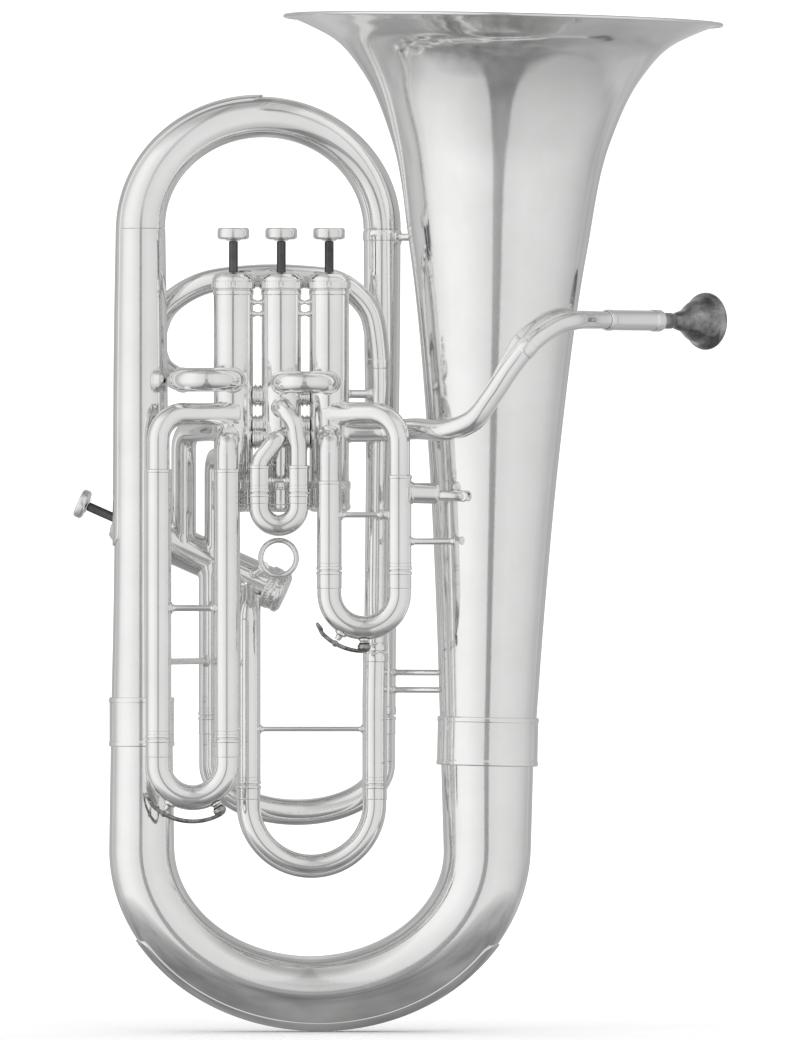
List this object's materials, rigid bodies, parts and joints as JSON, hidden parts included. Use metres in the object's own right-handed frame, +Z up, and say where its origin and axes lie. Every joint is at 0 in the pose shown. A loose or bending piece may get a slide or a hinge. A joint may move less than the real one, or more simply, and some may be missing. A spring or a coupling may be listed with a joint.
{
  "type": "compensating euphonium",
  "caption": "Upright silver-plated low brass instrument: wide conical bell, top piston valves and one side valve, pull-out tuning slides, water keys and a removable mouthpiece.",
  "frame": {"origin": "lowest point of the bottom bow, under the middle of the bow", "axes": "+Z up along the branches towards the bell rim, +X from the main branch towards the bell, +Y away from the slides' side"},
  "size_m": [0.4546, 0.305, 0.7042],
  "materials": {
    "silver_plate": "polished silver plate on brass",
    "guard_silver": "polished silver plate, lightly handled",
    "piston_alloy": "lapped nickel alloy",
    "spring_steel": "drawn spring wire",
    "mouthpiece_silver": "polished silver plate, darker from use"
  },
  "bodies": {
    "instrument": {"bell": "silver_plate", "bell_bow_ferrule": "silver_plate", "bottom_bow": "silver_plate", "bottom_bow_guard": "guard_silver", "branch_ferrule": "silver_plate", "left_branch": "silver_plate", "top_bow": "silver_plate", "top_bow_guard": "guard_silver", "right_branch": "silver_plate", "leadpipe": "silver_plate", "mouthpiece_receiver": "silver_plate", "arch_tube": "silver_plate", "left_front_bend": "silver_plate", "right_front_bend": "silver_plate", "long_link_tube": "silver_plate", "short_link_tube": "silver_plate", "valve_1_rear_loop": "silver_plate", "valve_2_rear_loop": "silver_plate", "valve_3_rear_loop": "silver_plate", "thumb_ring": "silver_plate", "slide_1_frame": "silver_plate", "slide_2_frame": "silver_plate", "slide_3_frame": "silver_plate", "slide_4_frame": "silver_plate", "main_slide_sleeve": "silver_plate", "valve_1_casing": "silver_plate", "valve_1_top_cap": "silver_plate", "valve_1_bottom_cap": "silver_plate", "valve_1_spring": "spring_steel", "valve_2_casing": "silver_plate", "valve_2_top_cap": "silver_plate", "valve_2_bottom_cap": "silver_plate", "valve_2_spring": "spring_steel", "valve_3_casing": "silver_plate", "valve_3_top_cap": "silver_plate", "valve_3_bottom_cap": "silver_plate", "valve_3_spring": "spring_steel", "valve_4_casing": "silver_plate", "valve_4_top_cap": "silver_plate", "valve_4_bottom_cap": "silver_plate", "valve_4_spring": "spring_steel"},
    "valve_1": {"valve_1_piston": "piston_alloy", "valve_1_button": "silver_plate"},
    "valve_2": {"valve_2_piston": "piston_alloy", "valve_2_button": "silver_plate"},
    "valve_3": {"valve_3_piston": "piston_alloy", "valve_3_button": "silver_plate"},
    "valve_4": {"valve_4_piston": "piston_alloy", "valve_4_button": "silver_plate"},
    "slide_1": {"slide_1_crook": "silver_plate"},
    "slide_2": {"slide_2_crook": "silver_plate"},
    "slide_3": {"slide_3_crook": "silver_plate"},
    "slide_4": {"slide_4_crook": "silver_plate"},
    "main_slide": {"main_slide_crook": "silver_plate"},
    "mouthpiece": {"mouthpiece": "mouthpiece_silver"},
    "slide_1_key": {"slide_1_water_key": "silver_plate"},
    "slide_3_key": {"slide_3_water_key": "silver_plate"}
  },
  "joints": [
    {"name": "valve_1_press", "type": "slide", "parent": "instrument", "child": "valve_1", "axis": [0, 0, -1], "range_m": [0, 0.017], "stiffness_N_per_m": 100, "springref_m": -0.025, "deforming": ["valve_1_spring"]},
    {"name": "valve_2_press", "type": "slide", "parent": "instrument", "child": "valve_2", "axis": [0, 0, -1], "range_m": [0, 0.017], "stiffness_N_per_m": 100, "springref_m": -0.025, "deforming": ["valve_2_spring"]},
    {"name": "valve_3_press", "type": "slide", "parent": "instrument", "child": "valve_3", "axis": [0, 0, -1], "range_m": [0, 0.017], "stiffness_N_per_m": 100, "springref_m": -0.025, "deforming": ["valve_3_spring"]},
    {"name": "valve_4_press", "type": "slide", "parent": "instrument", "child": "valve_4", "axis": [0.9129, -0.0546, -0.4044], "range_m": [0, 0.017], "stiffness_N_per_m": 100, "springref_m": -0.025, "deforming": ["valve_4_spring"]},
    {"name": "slide_1_pull", "type": "slide", "parent": "instrument", "child": "slide_1", "axis": [0, 0, -1], "range_m": [0, 0.03]},
    {"name": "slide_2_pull", "type": "slide", "parent": "instrument", "child": "slide_2", "axis": [0, 0, -1], "range_m": [0, 0.008]},
    {"name": "slide_3_pull", "type": "slide", "parent": "instrument", "child": "slide_3", "axis": [0, 0, -1], "range_m": [0, 0.06]},
    {"name": "slide_4_pull", "type": "slide", "parent": "instrument", "child": "slide_4", "axis": [0, 0, -1], "range_m": [0, 0.035]},
    {"name": "main_slide_pull", "type": "slide", "parent": "instrument", "child": "main_slide", "axis": [0, 0, -1], "range_m": [0, 0.04]},
    {"name": "mouthpiece_pull", "type": "slide", "parent": "instrument", "child": "mouthpiece", "axis": [0.7071, 0.7071, 0], "range_m": [0, 0.02]},
    {"name": "slide_1_water_key_press", "type": "hinge", "parent": "slide_1", "child": "slide_1_key", "pos_m": [0.01443, -0.04, 0.26862], "axis": [0, 1, 0], "range_deg": [0, 8], "stiffness_Nm_per_rad": 0.02, "springref_deg": -20.05},
    {"name": "slide_3_water_key_press", "type": "hinge", "parent": "slide_3", "child": "slide_3_key", "pos_m": [-0.10385, -0.04, 0.15117], "axis": [0, 1, 0], "range_deg": [0, 8], "stiffness_Nm_per_rad": 0.02, "springref_deg": -20.05}
  ]
}
